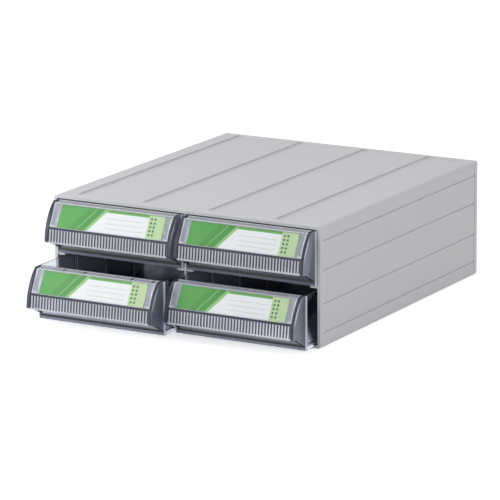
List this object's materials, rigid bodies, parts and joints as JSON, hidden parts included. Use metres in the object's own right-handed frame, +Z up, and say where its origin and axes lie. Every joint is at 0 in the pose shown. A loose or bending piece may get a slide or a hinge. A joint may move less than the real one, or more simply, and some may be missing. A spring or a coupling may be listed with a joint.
{
  "type": "parts drawer box",
  "caption": "Free-standing moulded case whose clear smoky drawers slide out on side rails; bowed fronts with a ribbed finger pull and a label window, dividers inside.",
  "frame": {"origin": "middle of the case's flat underside", "axes": "+Z up; +X to the right of someone facing the drawers; -Y towards that person, the way the drawers pull out"},
  "size_m": [0.3, 0.4011, 0.12],
  "materials": {
    "case_plastic": "fine satin moulded surface",
    "tray_plastic": "smoky blue-grey clear polystyrene, glossy",
    "divider_plastic": "lightly smoked clear polystyrene, glossy",
    "clear_plastic": "water-clear, glossy",
    "label_card": "printed card"
  },
  "bodies": {
    "case": {"case_shell": "case_plastic", "centre_partition": "case_plastic"},
    "drawer_upper_left": {"tray_upper_left": "tray_plastic", "label_card_upper_left": "label_card", "label_cover_upper_left": "clear_plastic", "divider_upper_left_1": "divider_plastic", "divider_upper_left_2": "divider_plastic", "divider_upper_left_3": "divider_plastic"},
    "drawer_upper_right": {"tray_upper_right": "tray_plastic", "label_card_upper_right": "label_card", "label_cover_upper_right": "clear_plastic", "divider_upper_right_1": "divider_plastic", "divider_upper_right_2": "divider_plastic", "divider_upper_right_3": "divider_plastic"},
    "drawer_lower_left": {"tray_lower_left": "tray_plastic", "label_card_lower_left": "label_card", "label_cover_lower_left": "clear_plastic", "divider_lower_left_1": "divider_plastic", "divider_lower_left_2": "divider_plastic", "divider_lower_left_3": "divider_plastic"},
    "drawer_lower_right": {"tray_lower_right": "tray_plastic", "label_card_lower_right": "label_card", "label_cover_lower_right": "clear_plastic", "divider_lower_right_1": "divider_plastic", "divider_lower_right_2": "divider_plastic", "divider_lower_right_3": "divider_plastic"}
  },
  "joints": [
    {"name": "slide_upper_left", "type": "slide", "parent": "case", "child": "drawer_upper_left", "axis": [0, -1, 0], "range_m": [0, 0.24]},
    {"name": "slide_upper_right", "type": "slide", "parent": "case", "child": "drawer_upper_right", "axis": [0, -1, 0], "range_m": [0, 0.24]},
    {"name": "slide_lower_left", "type": "slide", "parent": "case", "child": "drawer_lower_left", "axis": [0, -1, 0], "range_m": [-0.035, 0.205]},
    {"name": "slide_lower_right", "type": "slide", "parent": "case", "child": "drawer_lower_right", "axis": [0, -1, 0], "range_m": [-0.0195, 0.2205]}
  ]
}
